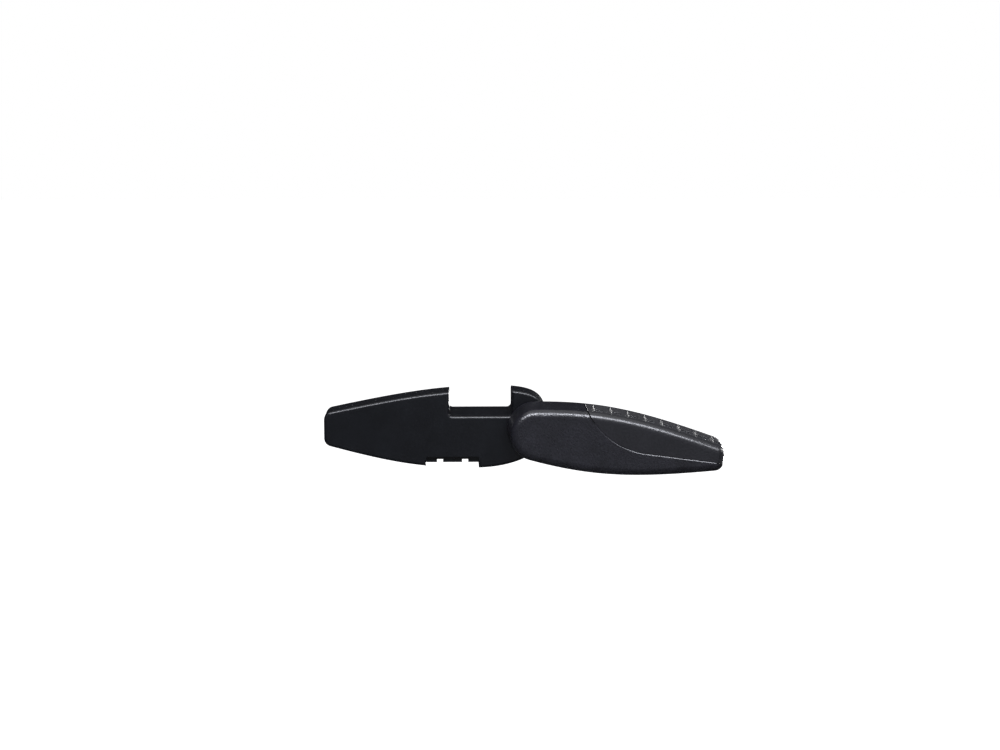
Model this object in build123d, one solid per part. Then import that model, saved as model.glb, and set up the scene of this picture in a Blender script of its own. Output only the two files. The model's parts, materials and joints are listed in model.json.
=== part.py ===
from build123d import *
import os
from math import cos, radians, sin

# Roof crossbar end cap: a plug for the end of a wing-section bar, with a cover that swings aside.
# Millimetres, +Z up, +X towards the bar's nose, +Y along the bar.
# The origin is the middle of the bar's section, in the plane of its cut end.
# The cover is written out fully open, hanging on its open stop.

# Wing section of the bar, which the plug continues
bar_chord = 80.0
bar_height = 28.2
bar_wall = 2.0
top_crest_from_nose = 20.0
bottom_crest_from_nose = 26.0
tail_top = 5.9
tail_bottom = 5.5
tail_top_slope = 12.0
tail_bottom_slope = 15.5
tail_corner = 3.0
top_nose_fullness = 0.82
bottom_nose_fullness = 0.58
tail_handle = 24.0
crest_handle = 20.0

# Slot in line with the bar's top track, and channel along the underside
slot_from_nose = 13.0
slot_width = 22.3
slot_floor = 4.7
slot_corner = 1.2
channel_from_nose = 24.8
channel_width = 18.8
channel_ceiling = -10.0
tongue_bottom = -12.1
tongue_setback = 1.2
tongue_groove_width = 2.2
tongue_groove_height = 1.1
tongue_groove_spacing = 9.0

# Plug moulding
body_depth = 13.0
face_thickness = 3.0
edge_round = 1.0
plug_length = 14.0
plug_wall = 1.6
plug_clearance = 0.4
pilot_length = 2.5
pilot_step = 0.5
slot_to_plug = 0.3
crush = 0.1
crush_rib_width = 1.2
crush_ribs_from_nose = [19.0, 46.5, 57.0, 68.0]
web_thickness = 1.4
webs_from_nose = [44.0, 60.0]
web_end = 6.0

# Pivot and its stop
pivot_from_nose = 8.0
pivot_height = 0.8
pin_radius = 2.0
running_clearance = 0.05
boss_radius = 4.6
boss_setback = 2.5
clip_pocket_radius = 4.2
swing = 187.5
swing_gap = 0.6
stop_radius = 5.0
stop_lug_width = 2.0
stop_lug_half_angle = 12.0
stop_lug_closed_angle = 100.0
stop_lug_depth = 1.3
stop_clearance = 0.2
stop_groove_depth = 1.8

# Swing cover, drawn about its pivot in the closed position: tail towards -X, grip edge below
cover_depth = 17.0
cover_nose_margin = 1.5
cover_tail_margin = 2.0
cover_nose_radius = 9.7
cover_nose_slope = 8.0
cover_tail_height = 9.0
cover_tail_slope = 12.7
cover_tail_corner = 3.7
cover_nose_handle = 24.0
cover_tail_handle = 30.0
cover_draft = 2.0
cover_rim_round = 2.8
cover_wall = 2.8
cover_boss_radius = 6.4
cover_rib_thickness = 1.4
cover_rib_height = 5.0
cover_ribs_from_pivot = [18.0, 34.0, 50.0]
pin_grip_length = 9.0

# Grip pad behind the parting line
grip_thickness = 1.2
parting_offset = 1.5
parting_bend = 42.0
parting_radius = 26.5
parting_gap = 0.35
rim_lip = 1.2
block_count = 8
block_pitch = 6.16
block_width = 3.0
block_height = 0.45
first_block = 23.8
block_rim_setback = 4.0
block_length = 8.5

# Washers and clip on the pin
washer_radius = 3.7
washer_play = 0.1
washer_seat_play = 0.05
spring_washer_thickness = 0.35
spring_washer_height = 0.75
backing_washer_thickness = 0.5
clip_radius = 3.5
clip_thickness = 0.6
clip_groove_radius = 1.55
clip_groove_play = 0.05
clip_mouth = 2.5
clip_relief_radius = 0.7
clip_relief_angles = [30.0, 150.0]
pin_tip = 1.4
pin_chamfer = 0.3

# Places worked out from the sizes above
nose_x = bar_chord / 2
tail_x = -bar_chord / 2
pivot_x = nose_x - pivot_from_nose
slot_middle = nose_x - slot_from_nose - slot_width / 2
channel_middle = nose_x - channel_from_nose - channel_width / 2
face_front = -body_depth
face_back = face_front + face_thickness
boss_end = -boss_setback
rim_y = face_front - swing_gap
cover_front = rim_y - cover_depth
cover_reach = bar_chord - pivot_from_nose - cover_tail_margin
cover_nose_tip = pivot_from_nose - cover_nose_margin
spring_seat = boss_end + washer_seat_play
backing_seat = spring_seat + spring_washer_height + washer_seat_play
clip_seat = backing_seat + backing_washer_thickness + washer_seat_play
pin_end = clip_seat + clip_thickness + pin_tip
pin_start = rim_y - pin_grip_length
beyond = bar_chord
spline_steps = 8


def slab(sketch, y_front, y_back):
    """Solid of a sketch drawn in X and Z, between two planes across the bar."""
    return extrude(Plane.XZ.offset(-y_back) * sketch, amount=y_back - y_front)


def block_area(x_low, x_high, z_low, z_high):
    """Rectangle given by its limits."""
    middle = Pos((x_low + x_high) / 2, (z_low + z_high) / 2)
    return middle * Rectangle(x_high - x_low, z_high - z_low)


def along(start, degrees, length):
    """Point at a distance from another, in a direction given as an angle."""
    return (start[0] + length * cos(radians(degrees)), start[1] + length * sin(radians(degrees)))


def inset(section, distance):
    """Section drawn in by a distance, with its free curves rebuilt as splines."""
    edges = []
    for edge in offset(section, -distance).edges():
        if edge.geom_type == GeomType.OFFSET:
            stations = [edge @ (step / spline_steps) for step in range(spline_steps + 1)]
            edge = Spline(stations, tangents=[edge % 0, edge % 1])
        edges.append(edge)
    return make_face(Curve() + edges)


def bar_section():
    """Wing section of the bar: full nose at +X, blunt tail at -X."""
    crest = bar_height / 2
    top_x = nose_x - top_crest_from_nose
    bottom_x = nose_x - bottom_crest_from_nose
    nose = (nose_x, 0)
    top = (top_x, crest)
    bottom = (bottom_x, -crest)
    tail_high = (tail_x, tail_top)
    tail_low = (tail_x, -tail_bottom)
    outline = Curve() + [
        Bezier(
            nose,
            (nose_x, top_nose_fullness * crest),
            (top_x + top_nose_fullness * top_crest_from_nose, crest),
            top,
        ),
        Bezier(top, (top_x - crest_handle, crest), along(tail_high, tail_top_slope, tail_handle), tail_high),
        Line(tail_high, tail_low),
        Bezier(
            tail_low,
            along(tail_low, -tail_bottom_slope, tail_handle),
            (bottom_x - crest_handle, -crest),
            bottom,
        ),
        Bezier(
            bottom,
            (bottom_x + bottom_nose_fullness * bottom_crest_from_nose, -crest),
            (nose_x, -bottom_nose_fullness * crest),
            nose,
        ),
    ]
    section = make_face(outline)
    return fillet(section.vertices().sort_by(Axis.X)[:2], tail_corner)


def slot_area(margin):
    """Track slot, open at the top, grown by a margin."""
    half = slot_width / 2 + margin
    area = block_area(slot_middle - half, slot_middle + half, slot_floor - margin, bar_height)
    return fillet(area.vertices().sort_by(Axis.Y)[:2], slot_corner + margin)


def channel_area(ceiling, margin):
    """Underside channel up to a ceiling, grown sideways by a margin."""
    half = channel_width / 2 + margin
    return block_area(channel_middle - half, channel_middle + half, -bar_height, ceiling)


def plug_area():
    """Area that the plug may fill inside the bar."""
    inside = inset(bar_section(), bar_wall + plug_clearance)
    channel = channel_area(channel_ceiling + bar_wall, bar_wall)
    return inside - slot_area(slot_to_plug) - channel


def crush_rib_area():
    """Ribs along the plug's wall that are crushed as it goes into the bar."""
    band = inset(bar_section(), bar_wall - crush) - inset(bar_section(), bar_wall + plug_clearance)
    half = crush_rib_width / 2
    strips = [
        block_area(nose_x - place - half, nose_x - place + half, -bar_height, bar_height)
        for place in crush_ribs_from_nose
    ]
    band = band - slot_area(slot_to_plug) - channel_area(channel_ceiling + bar_wall, bar_wall)
    return Sketch() + [band & strip for strip in strips]


def stop_area(start_angle, sweep, width):
    """Curved slot about the pivot, for the stop lug and for its groove."""
    return SlotArc(CenterArc((0, 0), stop_radius, start_angle, sweep), width)


def end_plug():
    """Fixed moulding: the face with its slot and channel, the pivot boss and the plug walls."""
    at_pivot = Pos(pivot_x, pivot_height)
    filled = plug_area()
    hollow = inset(filled, plug_wall)
    section = bar_section() - slot_area(0) - channel_area(tongue_bottom, 0)
    body = slab(section, face_front, 0)
    body = fillet(body.faces().sort_by(Axis.Y)[0].edges(), edge_round)

    tongue_front = channel_area(channel_ceiling, 0)
    body -= slab(tongue_front, face_front, face_front + tongue_setback)
    for side in (-1, 1):
        groove_x = channel_middle + side * tongue_groove_spacing / 2
        groove = Pos(groove_x, tongue_bottom) * Rectangle(tongue_groove_width, 2 * tongue_groove_height)
        body -= slab(groove, face_front, 0)

    body -= slab(hollow, face_back, 0)
    body += slab(filled - hollow, -face_thickness, plug_length - pilot_length)
    body += slab(inset(filled, pilot_step) - hollow, 0, plug_length)
    body += slab(crush_rib_area(), -face_thickness / 2, plug_length - 2 * pilot_length)

    for place in webs_from_nose:
        middle = nose_x - place
        web = block_area(middle - web_thickness / 2, middle + web_thickness / 2, -bar_height, bar_height)
        body += slab(web & inset(filled, plug_wall / 2), face_back - face_thickness / 2, web_end)

    body += slab(at_pivot * Circle(boss_radius), face_back - face_thickness / 2, boss_end)
    body -= slab(at_pivot * Circle(clip_pocket_radius), boss_end, plug_length)
    body -= slab(at_pivot * Circle(pin_radius + running_clearance), face_front, boss_end)
    first_angle = stop_lug_closed_angle - swing - stop_lug_half_angle
    groove = stop_area(first_angle, swing + 2 * stop_lug_half_angle, stop_lug_width + 2 * stop_clearance)
    return body - slab(at_pivot * groove, face_front, face_front + stop_groove_depth)


def cover_outline():
    """Teardrop outline of the cover about its pivot, nose at +X."""
    centre_x = cover_nose_tip - cover_nose_radius
    end_angle = 90 - cover_nose_slope
    high = along((centre_x, 0), end_angle, cover_nose_radius)
    low = along((centre_x, 0), -end_angle, cover_nose_radius)
    tail_high = (-cover_reach, cover_tail_height / 2)
    tail_low = (-cover_reach, -cover_tail_height / 2)
    outline = Curve() + [
        CenterArc((centre_x, 0), cover_nose_radius, -end_angle, 2 * end_angle),
        Bezier(
            high,
            along(high, 180 - cover_nose_slope, cover_nose_handle),
            along(tail_high, cover_tail_slope, cover_tail_handle),
            tail_high,
        ),
        Line(tail_high, tail_low),
        Bezier(
            tail_low,
            along(tail_low, -cover_tail_slope, cover_tail_handle),
            along(low, 180 + cover_nose_slope, cover_nose_handle),
            low,
        ),
    ]
    section = make_face(outline)
    return fillet(section.vertices().sort_by(Axis.X)[:2], cover_tail_corner)


def cover_block(depth):
    """Drafted block of the cover, drawn in by a distance on every side but its open back."""
    outline = inset(cover_outline(), depth) if depth else cover_outline()
    return extrude(Plane.XZ.offset(-rim_y) * outline, amount=cover_depth - depth, taper=cover_draft)


def cover_body(depth):
    """Rounded form of the cover, drawn in by a distance."""
    body = cover_block(depth)
    return fillet(body.faces().sort_by(Axis.Y)[0].edges(), cover_rim_round - depth)


def cover_room(depth):
    """Straight-sided room inside the cover, open at its back."""
    return slab(inset(cover_outline(), depth), cover_front + depth, rim_y)


def grip_area(margin):
    """Area on the grip side of the parting line, which bends away to the edge in one arc."""
    right = parting_radius - parting_bend
    area = block_area(-beyond, right, parting_offset - 2 * parting_radius, parting_offset)
    area = fillet(area.vertices().sort_by_distance((right, parting_offset))[0], parting_radius)
    return offset(area, margin)


def grip_pad(outer, core):
    """Soft skin over the grip edge of the cover, with its row of raised blocks."""
    pad = (outer - core) & slab(grip_area(-parting_gap / 2), cover_front, rim_y - rim_lip)
    strips = []
    for index in range(block_count):
        middle = -(first_block + index * block_pitch)
        strips.append(block_area(middle - block_width / 2, middle + block_width / 2, -beyond, 0))
    back = rim_y - block_rim_setback
    raised = Pos(0, 0, -block_height) * cover_block(0) - cover_block(grip_thickness / 2)
    return pad + (raised & slab(Sketch() + strips, back - block_length, back))


def cover_shell(outer, core):
    """Hollow cover with its ribs, pivot boss and stop lug, rebated for the grip pad."""
    rebate = (outer - core) & slab(grip_area(parting_gap / 2), cover_front, rim_y - rim_lip)
    shell = outer - cover_room(cover_wall) - rebate
    within = cover_room((cover_wall + grip_thickness) / 2)

    half = cover_rib_thickness / 2
    ribs = [block_area(-place - half, -place + half, -beyond, beyond) for place in cover_ribs_from_pivot]
    ribs.append(block_area(-beyond, 0, -half, half))
    shell += slab(Sketch() + ribs, cover_front, cover_front + cover_wall + cover_rib_height) & within
    shell += slab(Circle(cover_boss_radius), cover_front, rim_y) & within

    lug_start = stop_lug_closed_angle - stop_lug_half_angle
    lug = stop_area(lug_start, 2 * stop_lug_half_angle, stop_lug_width)
    shell += slab(lug, rim_y - cover_wall, face_front + stop_lug_depth)
    return shell - slab(Circle(pin_radius), pin_start, rim_y)


def pivot_pin():
    """Steel pin, pressed into the cover, with a groove for the clip."""
    pin = slab(Circle(pin_radius), pin_start, pin_end)
    pin = chamfer(pin.edges().filter_by(GeomType.CIRCLE), pin_chamfer)
    groove = Circle(clip_radius) - Circle(clip_groove_radius)
    return pin - slab(groove, clip_seat - clip_groove_play, clip_seat + clip_thickness + clip_groove_play)


def ring(outer_radius, y_front, y_back):
    """Plain washer on the pin."""
    return slab(Circle(outer_radius) - Circle(pin_radius + washer_play), y_front, y_back)


def spring_washer():
    """Conical spring washer, bearing on the boss with its outer edge."""
    inner = pin_radius + washer_play
    low = spring_seat
    high = spring_seat + spring_washer_height
    section = make_face(
        Polyline(
            (washer_radius, low),
            (washer_radius, low + spring_washer_thickness),
            (inner, high),
            (inner, high - spring_washer_thickness),
            close=True,
        )
    )
    return revolve(section, Axis.Y)


def retaining_clip():
    """E-clip that snaps into the pin's groove from one side."""
    shape = Circle(clip_radius) - Circle(clip_groove_radius + clip_groove_play)
    shape -= block_area(-clip_mouth / 2, clip_mouth / 2, -clip_radius, 0)
    for angle in clip_relief_angles:
        shape -= Pos(along((0, 0), angle, clip_groove_radius)) * Circle(clip_relief_radius)
    return slab(shape, clip_seat, clip_seat + clip_thickness)


def opened(piece):
    """Piece of the cover, turned about the pivot from closed to fully open."""
    return Pos(pivot_x, 0, pivot_height) * Rot(0, swing, 0) * piece


outer = cover_body(0)
core = cover_body(grip_thickness)
pieces = {
    "end_plug": end_plug(),
    "cover_shell": opened(cover_shell(outer, core)),
    "grip_pad": opened(grip_pad(outer, core)),
    "pivot_pin": opened(pivot_pin()),
    "thrust_washer": opened(ring(washer_radius, rim_y + washer_seat_play, face_front - washer_seat_play)),
    "spring_washer": opened(spring_washer()),
    "backing_washer": opened(ring(washer_radius, backing_seat, backing_seat + backing_washer_thickness)),
    "retaining_clip": opened(retaining_clip()),
}

os.makedirs("parts", exist_ok=True)
for name, piece in pieces.items():
    export_step(piece, f"parts/{name}.step")
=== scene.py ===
import json
import logging
from dataclasses import dataclass, field
from enum import Enum
from math import radians

import bmesh
import bpy
from mathutils import Matrix, Vector

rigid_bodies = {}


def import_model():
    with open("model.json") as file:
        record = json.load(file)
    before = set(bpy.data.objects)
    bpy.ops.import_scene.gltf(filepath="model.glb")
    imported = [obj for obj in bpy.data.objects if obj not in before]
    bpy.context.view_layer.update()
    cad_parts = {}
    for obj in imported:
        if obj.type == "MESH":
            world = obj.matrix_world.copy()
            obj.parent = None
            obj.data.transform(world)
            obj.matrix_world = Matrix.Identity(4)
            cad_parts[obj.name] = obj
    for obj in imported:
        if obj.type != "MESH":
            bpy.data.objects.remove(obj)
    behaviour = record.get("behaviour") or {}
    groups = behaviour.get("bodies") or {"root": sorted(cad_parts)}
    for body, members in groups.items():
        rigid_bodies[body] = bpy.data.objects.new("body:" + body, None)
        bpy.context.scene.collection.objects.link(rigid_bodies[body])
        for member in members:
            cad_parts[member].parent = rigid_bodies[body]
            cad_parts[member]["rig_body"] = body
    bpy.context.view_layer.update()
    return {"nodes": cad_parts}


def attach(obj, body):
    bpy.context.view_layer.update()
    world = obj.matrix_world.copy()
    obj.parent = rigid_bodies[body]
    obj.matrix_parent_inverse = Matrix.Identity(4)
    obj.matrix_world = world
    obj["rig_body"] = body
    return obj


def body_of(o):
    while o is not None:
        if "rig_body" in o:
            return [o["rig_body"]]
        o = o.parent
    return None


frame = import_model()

log = logging.getLogger("end_cap")

MM = 0.001

Colour = tuple[float, float, float]
Point = tuple[float, float, float]
Socket = bpy.types.NodeSocket

WHITE: Colour = (1.0, 1.0, 1.0)
NOISE_LOW, NOISE_HIGH = 0.3, 0.7
CELL_LOW, CELL_HIGH = 0.1, 0.7
EDGE_SAMPLES = 6


class Body(Enum):
    """Body that the added piece rides on."""

    COVER = "cover"


class Slot(Enum):
    """Material slots of the record."""

    PLUG = "plug_plastic"
    COVER = "cover_plastic"
    GRIP = "grip_rubber"
    PIN = "pin_steel"
    NYLON = "washer_plastic"
    SPRING = "spring_steel"
    BACKING = "washer_steel"
    CLIP = "clip_steel"


class ShaderSheet:
    """Node tree of one material, with short calls for its usual nodes."""

    def __init__(self, name: str) -> None:
        """Start an empty material with a principled shader.

        Args:
            name: Name of the material.
        """
        self.material = bpy.data.materials.new(name)
        self.material.use_nodes = True
        self.tree = self.material.node_tree
        self.tree.nodes.clear()
        output = self.add("ShaderNodeOutputMaterial")
        self.shader = self.add("ShaderNodeBsdfPrincipled")
        self.link(self.shader.outputs["BSDF"], output.inputs["Surface"])
        self.place = self.add("ShaderNodeTexCoord").outputs["Object"]

    def add(self, kind: str, **inputs: object) -> bpy.types.Node:
        """Add a node and set its input sockets by name.

        Args:
            kind: Blender's name for the node type.
            **inputs: Socket values, with spaces in names written as underscores.

        Returns:
            The new node.
        """
        node = self.tree.nodes.new(kind)
        for socket, value in inputs.items():
            node.inputs[socket.replace("_", " ")].default_value = value
        return node

    def link(self, source: Socket, target: Socket) -> None:
        """Join two sockets.

        Args:
            source: Output to read.
            target: Input to feed.
        """
        self.tree.links.new(source, target)

    def set(self, socket: str, value: object) -> None:
        """Set a constant on the shader.

        Args:
            socket: Name of the shader's input.
            value: Number or colour to set.
        """
        self.shader.inputs[socket].default_value = value

    def noise(self, feature: float, octaves: float) -> Socket:
        """Add a noise pattern.

        Args:
            feature: Size of its largest blots, in metres.
            octaves: Number of finer octaves.

        Returns:
            The pattern's value socket.
        """
        node = self.add("ShaderNodeTexNoise", Scale=1 / feature, Detail=octaves)
        self.link(self.place, node.inputs["Vector"])
        return node.outputs["Fac"]

    def cells(self, feature: float, smoothness: float, wobble: float) -> Socket:
        """Add a pattern of rounded cells, as on a leather grain.

        Args:
            feature: Width of a cell, in metres.
            smoothness: How softly the cells run together.
            wobble: How far noise pushes the cells out of shape, in metres.

        Returns:
            The distance from the middle of each cell.
        """
        warp = self.add("ShaderNodeTexNoise", Scale=1 / feature, Detail=1.0)
        self.link(self.place, warp.inputs["Vector"])
        push = self.add("ShaderNodeVectorMath")
        push.operation = "MULTIPLY_ADD"
        push.inputs[1].default_value = (wobble, wobble, wobble)
        self.link(warp.outputs["Color"], push.inputs[0])
        self.link(self.place, push.inputs[2])
        node = self.add("ShaderNodeTexVoronoi", Scale=1 / feature)
        node.feature = "SMOOTH_F1"
        node.inputs["Smoothness"].default_value = smoothness
        self.link(push.outputs["Vector"], node.inputs["Vector"])
        return node.outputs["Distance"]

    def spread(self, value: Socket, low: float, high: float, new_low: float, new_high: float) -> Socket:
        """Map a value from one range to another.

        Args:
            value: Socket to read.
            low: Lower end of the range that is read.
            high: Upper end of the range that is read.
            new_low: Value given at the lower end.
            new_high: Value given at the upper end.

        Returns:
            The mapped value.
        """
        node = self.add("ShaderNodeMapRange", From_Min=low, From_Max=high, To_Min=new_low, To_Max=new_high)
        self.link(value, node.inputs["Value"])
        return node.outputs["Result"]

    def around(self, noise: Socket, middle: float, swing: float) -> Socket:
        """Let a noise pattern move a value to both sides of its middle.

        Args:
            noise: Pattern to read.
            middle: Value that it moves about.
            swing: How far it moves to each side.

        Returns:
            The moving value.
        """
        return self.spread(noise, NOISE_LOW, NOISE_HIGH, middle - swing, middle + swing)

    def sum(self, first: Socket, second: Socket, weight: float) -> Socket:
        """Add a weighted second value to a first one.

        Args:
            first: Value that counts in full.
            second: Value that counts by its weight.
            weight: Share of the second value.

        Returns:
            The sum.
        """
        node = self.add("ShaderNodeMath")
        node.operation = "MULTIPLY_ADD"
        node.inputs[1].default_value = weight
        self.link(second, node.inputs[0])
        self.link(first, node.inputs[2])
        return node.outputs["Value"]

    def tint(self, value: Socket, dark: Colour, light: Colour) -> None:
        """Colour the shader between two shades.

        Args:
            value: Share of the lighter shade, from 0 to 1.
            dark: Shade at 0.
            light: Shade at 1.
        """
        node = self.add("ShaderNodeMix")
        node.data_type = "RGBA"
        node.inputs[6].default_value = (*dark, 1.0)
        node.inputs[7].default_value = (*light, 1.0)
        self.link(value, node.inputs[0])
        self.link(node.outputs[2], self.shader.inputs["Base Color"])

    def relief(self, height: Socket, depth: float, edge_round: float) -> None:
        """Give the shader a surface relief over softened edges.

        Args:
            height: Relief, from 0 to 1.
            depth: Height of the relief, in metres.
            edge_round: Radius that sharp edges are softened by, in metres.
        """
        edges = self.add("ShaderNodeBevel", Radius=edge_round)
        edges.samples = EDGE_SAMPLES
        bump = self.add("ShaderNodeBump", Strength=1.0, Distance=depth)
        self.link(height, bump.inputs["Height"])
        self.link(edges.outputs["Normal"], bump.inputs["Normal"])
        self.link(bump.outputs["Normal"], self.shader.inputs["Normal"])


@dataclass(frozen=True)
class MouldedFinish:
    """Black moulded plastic or soft-touch rubber with a fine grain."""

    name: str
    dark: Colour
    light: Colour
    roughness: float
    roughness_swing: float
    specular: float
    grain: float
    grain_depth: float
    grain_smoothness: float = 0.35
    grain_wobble: float = 0.6
    fine_scale: float = 0.45
    fine_share: float = 0.35
    fine_octaves: float = 3.0
    cloud_scale: float = 14.0
    cloud_share: float = 0.5
    cloud_octaves: float = 2.0
    edge_round: float = 0.12 * MM
    sheen: float = 0.0

    def material(self) -> bpy.types.Material:
        """Make the finish.

        Returns:
            The material.
        """
        sheet = ShaderSheet(self.name)
        cells = sheet.cells(self.grain, self.grain_smoothness, self.grain * self.grain_wobble)
        fine = sheet.noise(self.grain * self.fine_scale, self.fine_octaves)
        cloud = sheet.noise(self.grain * self.cloud_scale, self.cloud_octaves)
        sheet.relief(sheet.sum(cells, fine, self.fine_share), self.grain_depth, self.edge_round)
        clouding = sheet.spread(cloud, NOISE_LOW, NOISE_HIGH, 0.0, self.cloud_share)
        # Colour is darker at the middle of each grain cell, where the relief is lowest. This is painted
        # shade in the grain's pits, added to the random clouding.
        pit_shade = sheet.spread(cells, CELL_LOW, CELL_HIGH, 0.0, 1.0)
        sheet.tint(sheet.sum(clouding, pit_shade, 1.0 - self.cloud_share), self.dark, self.light)
        rough = sheet.around(fine, self.roughness, self.roughness_swing)
        sheet.link(rough, sheet.shader.inputs["Roughness"])
        sheet.set("Specular IOR Level", self.specular)
        sheet.set("Sheen Weight", self.sheen)
        return sheet.material


@dataclass(frozen=True)
class MetalFinish:
    """Small steel part with fine turned or rolled marks."""

    name: str
    dark: Colour
    light: Colour
    roughness: float
    roughness_swing: float = 0.06
    mark: float = 0.12 * MM
    mark_depth: float = 0.004 * MM
    cloud_scale: float = 12.0
    octaves: float = 2.0
    edge_round: float = 0.06 * MM

    def material(self) -> bpy.types.Material:
        """Make the finish.

        Returns:
            The material.
        """
        sheet = ShaderSheet(self.name)
        marks = sheet.noise(self.mark, self.octaves)
        cloud = sheet.noise(self.mark * self.cloud_scale, self.octaves)
        sheet.relief(marks, self.mark_depth, self.edge_round)
        sheet.tint(sheet.spread(cloud, NOISE_LOW, NOISE_HIGH, 0.0, 1.0), self.dark, self.light)
        rough = sheet.around(marks, self.roughness, self.roughness_swing)
        sheet.link(rough, sheet.shader.inputs["Roughness"])
        sheet.set("Metallic", 1.0)
        return sheet.material


@dataclass(frozen=True)
class NylonFinish:
    """Natural nylon, cloudy and waxy."""

    name: str
    dark: Colour
    light: Colour
    roughness: float
    roughness_swing: float = 0.05
    cloud: float = 1.5 * MM
    octaves: float = 2.0

    def material(self) -> bpy.types.Material:
        """Make the finish.

        Returns:
            The material.
        """
        sheet = ShaderSheet(self.name)
        cloud = sheet.noise(self.cloud, self.octaves)
        sheet.tint(sheet.spread(cloud, NOISE_LOW, NOISE_HIGH, 0.0, 1.0), self.dark, self.light)
        rough = sheet.around(cloud, self.roughness, self.roughness_swing)
        sheet.link(rough, sheet.shader.inputs["Roughness"])
        return sheet.material


Finish = MouldedFinish | MetalFinish | NylonFinish

PLUG_FINISH = MouldedFinish(
    name="plug_black",
    dark=(0.0016, 0.0018, 0.0026),
    light=(0.0034, 0.0039, 0.0052),
    roughness=0.32,
    roughness_swing=0.05,
    specular=0.35,
    grain=0.5 * MM,
    grain_depth=0.012 * MM,
)
# Lighter and shinier than the cover shell whose edge it is. The bevel's real slope catches the key lamp, and
# its lighter colour adds a painted highlight along the parting line.
BEVEL_FINISH = MouldedFinish(
    name="bevel_black_painted_highlight",
    dark=(0.012, 0.012, 0.015),
    light=(0.018, 0.018, 0.022),
    roughness=0.34,
    roughness_swing=0.04,
    specular=0.6,
    grain=0.6 * MM,
    grain_depth=0.004 * MM,
    edge_round=0.05 * MM,
)
COVER_FINISH = MouldedFinish(
    name="cover_black_grained",
    dark=(0.0025, 0.0025, 0.0036),
    light=(0.0085, 0.0085, 0.0115),
    roughness=0.31,
    roughness_swing=0.06,
    specular=0.5,
    grain=0.62 * MM,
    grain_depth=0.05 * MM,
)
GRIP_FINISH = MouldedFinish(
    name="grip_soft_black",
    dark=(0.0030, 0.0030, 0.0043),
    light=(0.0060, 0.0060, 0.0080),
    roughness=0.33,
    roughness_swing=0.04,
    specular=0.5,
    edge_round=0.2 * MM,
    grain=0.7 * MM,
    grain_depth=0.03 * MM,
    sheen=0.05,
)
PIN_FINISH = MetalFinish("pin_turned_steel", (0.46, 0.46, 0.47), (0.58, 0.58, 0.59), 0.28)
SPRING_FINISH = MetalFinish("spring_oiled_steel", (0.26, 0.26, 0.28), (0.38, 0.38, 0.40), 0.34)
BACKING_FINISH = MetalFinish("washer_zinc_steel", (0.52, 0.53, 0.53), (0.66, 0.66, 0.64), 0.30)
CLIP_FINISH = MetalFinish("clip_phosphated_steel", (0.10, 0.10, 0.10), (0.16, 0.15, 0.14), 0.45)
NYLON_FINISH = NylonFinish("washer_natural_nylon", (0.70, 0.68, 0.62), (0.78, 0.77, 0.73), 0.42)


def dress(node: str, finish: Finish) -> bpy.types.Object:
    """Give a fixed node its finish.

    Args:
        node: Name of the node.
        finish: Finish to show.

    Returns:
        The node's object.
    """
    piece = frame["nodes"][node]
    piece.data.materials.clear()
    piece.data.materials.append(finish.material())
    return piece


def place_object(name: str, data: bpy.types.ID) -> bpy.types.Object:
    """Put a new object in the scene.

    Args:
        name: Name of the object.
        data: Its mesh, lamp or camera.

    Returns:
        The object.
    """
    thing = bpy.data.objects.new(name, data)
    bpy.context.scene.collection.objects.link(thing)
    return thing


def aim_object(thing: bpy.types.Object, place: Point, aim: Point) -> None:
    """Set an object's place and turn its view towards a point.

    Args:
        thing: Lamp or camera.
        place: Where it stands.
        aim: Point that it looks at.
    """
    thing.location = place
    thing.rotation_mode = "QUATERNION"
    thing.rotation_quaternion = (Vector(aim) - Vector(place)).to_track_quat("-Z", "Y")


@dataclass
class EndPlug:
    """Fixed moulding that closes the end of the bar."""

    finish: MouldedFinish = PLUG_FINISH

    def dress(self) -> list[bpy.types.Object]:
        """Dress the moulding.

        Returns:
            The moulding.
        """
        return [dress("end_plug", self.finish)]


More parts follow.
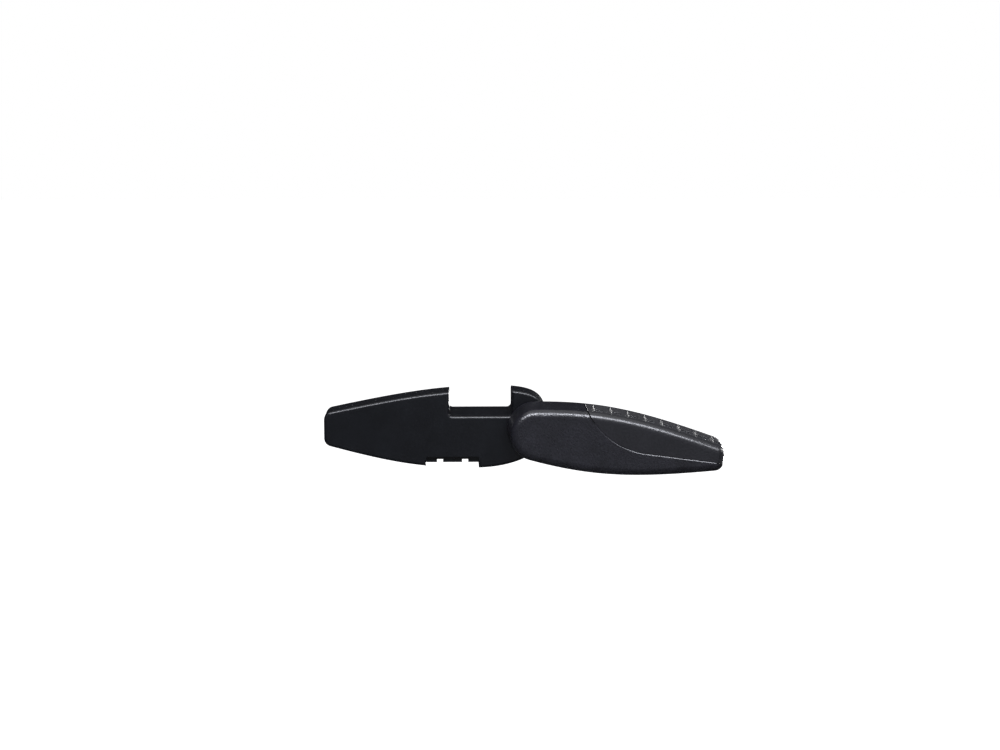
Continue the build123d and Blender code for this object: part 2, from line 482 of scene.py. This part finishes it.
@dataclass
class SwingCover:
    """Teardrop cover with its soft grip edge."""

    shell_finish: MouldedFinish = COVER_FINISH
    grip_finish: MouldedFinish = GRIP_FINISH
    bevel_finish: MouldedFinish = BEVEL_FINISH
    pivot: Point = (32.0 * MM, 0.0, 0.8 * MM)
    swing: float = 187.5
    face: float = -30.6 * MM
    parting_offset: float = 1.5 * MM
    parting_bend: float = 42.0 * MM
    parting_radius: float = 26.5 * MM
    parting_gap: float = 0.35 * MM
    bevel_start: float = 66.8 * MM
    bevel_turn: float = 47.0
    bevel_steps: int = 32
    bevel_drop: float = 0.22 * MM
    bevel_back: float = 0.5 * MM
    bevel_play: float = 0.02 * MM
    weld: float = 0.001 * MM

    def build_bevel(self) -> bpy.types.Object:
        """Model the sloping edge of the shell that shows in the parting line.

        Returns:
            The bevel's object.
        """
        outer = self.parting_offset + self.parting_gap / 2
        inner = self.parting_offset - self.parting_gap / 2 + self.bevel_play
        front = self.face + self.bevel_play
        back = front + self.bevel_back
        corners = [(outer, front), (inner, front + self.bevel_drop), (inner, back), (outer, back)]
        work = bmesh.new()
        section = work.faces.new([work.verts.new((-self.bevel_start, y, z)) for z, y in corners])
        straight = bmesh.ops.extrude_face_region(work, geom=[section])["geom"]
        end = [item for item in straight if isinstance(item, bmesh.types.BMVert)]
        bmesh.ops.translate(work, verts=end, vec=(self.bevel_start - self.parting_bend, 0.0, 0.0))
        bmesh.ops.spin(
            work,
            geom=[item for item in straight if isinstance(item, bmesh.types.BMFace)],
            cent=(-self.parting_bend, 0.0, self.parting_offset - self.parting_radius),
            axis=(0.0, 1.0, 0.0),
            angle=radians(self.bevel_turn),
            steps=self.bevel_steps,
        )
        inside = [face for face in work.faces if all(len(edge.link_faces) > 2 for edge in face.edges)]
        bmesh.ops.delete(work, geom=inside, context="FACES_ONLY")
        bmesh.ops.remove_doubles(work, verts=work.verts, dist=self.weld)
        bmesh.ops.recalc_face_normals(work, faces=work.faces)
        turn = Matrix.Translation(self.pivot) @ Matrix.Rotation(radians(self.swing), 4, "Y")
        bmesh.ops.transform(work, matrix=turn, verts=work.verts)
        mesh = bpy.data.meshes.new("parting_bevel")
        work.to_mesh(mesh)
        work.free()
        mesh.materials.append(self.bevel_finish.material())
        bevel = place_object("parting_bevel", mesh)
        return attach(bevel, Body.COVER.value)

    def dress(self) -> list[bpy.types.Object]:
        """Dress the shell and the grip pad, and lay the bevel between them.

        Returns:
            The three pieces.
        """
        return [
            dress("cover_shell", self.shell_finish),
            dress("grip_pad", self.grip_finish),
            self.build_bevel(),
        ]


@dataclass
class PivotHardware:
    """Pin, washers and clip that hold the cover on."""

    parts: dict[str, tuple[Finish, Slot]] = field(default_factory=lambda: {
        "pivot_pin": (PIN_FINISH, Slot.PIN),
        "thrust_washer": (NYLON_FINISH, Slot.NYLON),
        "spring_washer": (SPRING_FINISH, Slot.SPRING),
        "backing_washer": (BACKING_FINISH, Slot.BACKING),
        "retaining_clip": (CLIP_FINISH, Slot.CLIP),
    })

    def dress(self) -> list[bpy.types.Object]:
        """Dress each small part.

        Returns:
            The parts.
        """
        return [dress(node, finish) for node, (finish, slot) in self.parts.items()]


@dataclass
class Softbox:
    """Rectangular lamp aimed at the part, or at some of its nodes alone."""

    name: str
    place: Point
    aim: Point
    width: float
    height: float
    watts: float
    colour: Colour = WHITE
    lit_nodes: tuple[str, ...] = ()

    def build(self) -> bpy.types.Object:
        """Make the lamp.

        Returns:
            The lamp's object.
        """
        lamp = bpy.data.lights.new(self.name, "AREA")
        lamp.shape = "RECTANGLE"
        lamp.size = self.width
        lamp.size_y = self.height
        lamp.energy = self.watts
        lamp.color = self.colour
        box = place_object(self.name, lamp)
        box.visible_camera = False
        aim_object(box, self.place, self.aim)
        if self.lit_nodes:
            lit = bpy.data.collections.new(f"{self.name}_lit")
            for node in self.lit_nodes:
                lit.objects.link(frame["nodes"][node])
            box.light_linking.receiver_collection = lit
        return box


@dataclass
class Flag:
    """Dark screen that only reflections see, as black cards stand round a glossy product.

    It is slightly lighter on the camera's side.
    """

    radius: float = 0.85
    low: float = -0.17
    high: float = 1.2
    steps: int = 64
    colour: Colour = (0.01, 0.01, 0.012)
    front_glow: float = 0.10

    def material(self) -> bpy.types.Material:
        """Make the screen's finish.

        Returns:
            The material.
        """
        sheet = ShaderSheet("studio_flag")
        sheet.set("Base Color", (*self.colour, 1.0))
        sheet.set("Roughness", 1.0)
        axes = sheet.add("ShaderNodeSeparateXYZ")
        sheet.link(sheet.place, axes.inputs["Vector"])
        glow = sheet.spread(axes.outputs["Y"], -self.radius, 0.0, self.front_glow, 0.0)
        sheet.set("Emission Color", (*WHITE, 1.0))
        sheet.link(glow, sheet.shader.inputs["Emission Strength"])
        return sheet.material

    def build(self) -> bpy.types.Object:
        """Make the screen.

        Returns:
            The screen's object.
        """
        mesh = bpy.data.meshes.new("studio_flag")
        work = bmesh.new()
        ring = bmesh.ops.create_circle(work, cap_ends=True, segments=self.steps, radius=self.radius)["verts"]
        bmesh.ops.translate(work, verts=ring, vec=(0.0, 0.0, self.low))
        wall = bmesh.ops.extrude_edge_only(work, edges=work.edges[:])["geom"]
        rim = [item for item in wall if isinstance(item, bmesh.types.BMVert)]
        bmesh.ops.translate(work, verts=rim, vec=(0.0, 0.0, self.high - self.low))
        work.to_mesh(mesh)
        work.free()
        mesh.materials.append(self.material())
        flag = place_object("studio_flag", mesh)
        flag.visible_camera = False
        flag.visible_diffuse = False
        flag.visible_shadow = False
        flag.visible_transmission = False
        return flag


KEY_BOX = Softbox(
    name="key_box",
    place=(0.03, -0.43, 0.50),
    aim=(0.05, -0.02, 0.0),
    width=0.80,
    height=0.09,
    watts=11.0,
    colour=(0.90, 0.92, 1.0),
)
TAIL_BOX = Softbox(
    name="tail_box",
    place=(0.66, 0.11, 0.23),
    aim=(0.1, -0.02, -0.005),
    width=0.12,
    height=0.16,
    watts=3.0,
)
EDGE_BOX = Softbox(
    name="edge_box",
    place=(-0.11, 0.645, 0.10),
    aim=(0.065, -0.02, 0.0),
    width=0.22,
    height=0.18,
    watts=1.3,
    lit_nodes=("grip_pad",),
)
REAR_BOX = Softbox(
    name="rear_box",
    place=(0.42, 0.58, -0.10),
    aim=(0.03, 0.0, 0.0),
    width=0.40,
    height=0.12,
    watts=6.0,
)
FILL_BOX = Softbox(
    name="fill_box",
    place=(0.24, -0.72, -0.02),
    aim=(0.06, -0.03, 0.0),
    width=0.36,
    height=0.28,
    watts=0.16,
    colour=(0.86, 0.89, 1.0),
)


@dataclass
class Studio:
    """Pale floor, soft light and the camera."""

    floor_level: float = -0.18
    floor_size: float = 12.0
    floor_colour: Colour = (0.82, 0.82, 0.82)
    floor_roughness: float = 0.9
    floor_glow: float = 0.84
    ambient: float = 0.30
    camera_place: Point = (0.00664, -0.65442, 0.10945)
    camera_aim: Point = (0.02277, -0.01282, 0.01948)
    lens: float = 65.6
    sensor: float = 36.0
    flag: Flag = field(default_factory=Flag)
    boxes: tuple[Softbox, ...] = (KEY_BOX, TAIL_BOX, EDGE_BOX, REAR_BOX, FILL_BOX)

    def seen_white(self, tree: bpy.types.NodeTree) -> Socket:
        """Add the test for rays that show the white background.

        Args:
            tree: Node tree of the world or of the floor's material.

        Returns:
            Socket that is 1 for camera, glossy and transmission rays.
        """
        path = tree.nodes.new("ShaderNodeLightPath")
        value = path.outputs["Is Camera Ray"]
        for ray in ("Is Glossy Ray", "Is Transmission Ray"):
            node = tree.nodes.new("ShaderNodeMath")
            node.operation = "MAXIMUM"
            tree.links.new(value, node.inputs[0])
            tree.links.new(path.outputs[ray], node.inputs[1])
            value = node.outputs["Value"]
        return value

    def build_world(self) -> None:
        """Light the surroundings evenly and show them white."""
        world = bpy.data.worlds.new("studio_world")
        bpy.context.scene.world = world
        world.use_nodes = True
        tree = world.node_tree
        glow = tree.nodes["Background"]
        level = tree.nodes.new("ShaderNodeMapRange")
        level.inputs["To Min"].default_value = self.ambient
        level.inputs["To Max"].default_value = 1.0
        tree.links.new(self.seen_white(tree), level.inputs["Value"])
        tree.links.new(level.outputs["Result"], glow.inputs["Strength"])
        glow.inputs["Color"].default_value = (*WHITE, 1.0)

    def floor_material(self) -> bpy.types.Material:
        """Make the floor's finish: pale, and white where it is lit.

        Returns:
            The material.
        """
        sheet = ShaderSheet("studio_floor")
        sheet.set("Base Color", (*self.floor_colour, 1.0))
        sheet.set("Roughness", self.floor_roughness)
        sheet.set("Specular IOR Level", 0.0)
        sheet.set("Emission Color", (*WHITE, 1.0))
        glow = sheet.spread(self.seen_white(sheet.tree), 0.0, 1.0, 0.0, self.floor_glow)
        sheet.link(glow, sheet.shader.inputs["Emission Strength"])
        return sheet.material

    def build_floor(self) -> bpy.types.Object:
        """Lay the floor.

        Returns:
            The floor's object.
        """
        mesh = bpy.data.meshes.new("studio_floor")
        work = bmesh.new()
        bmesh.ops.create_grid(work, x_segments=1, y_segments=1, size=self.floor_size / 2)
        bmesh.ops.translate(work, verts=work.verts, vec=(0.0, 0.0, self.floor_level))
        work.to_mesh(mesh)
        work.free()
        mesh.materials.append(self.floor_material())
        floor = place_object("studio_floor", mesh)
        return floor

    def build_camera(self) -> bpy.types.Object:
        """Set up the camera at the photograph's viewing angle.

        Returns:
            The camera's object.
        """
        data = bpy.data.cameras.new("camera")
        data.lens = self.lens
        data.sensor_width = self.sensor
        camera = place_object("camera", data)
        aim_object(camera, self.camera_place, self.camera_aim)
        bpy.context.scene.camera = camera
        return camera

    def build(self) -> None:
        """Set up the whole studio."""
        bpy.context.scene.view_settings.view_transform = "Standard"
        self.build_world()
        self.build_floor()
        self.build_camera()
        self.flag.build()
        for box in self.boxes:
            box.build()


def main() -> None:
    """Build the studio and dress the part."""
    logging.basicConfig(level=logging.INFO, format="%(name)s: %(message)s")
    Studio().build()
    for assembly in (EndPlug(), SwingCover(), PivotHardware()):
        for piece in assembly.dress():
            log.info("%s: %s on %s", type(assembly).__name__, piece.name, body_of(piece))


if __name__ == "__main__":
    main()
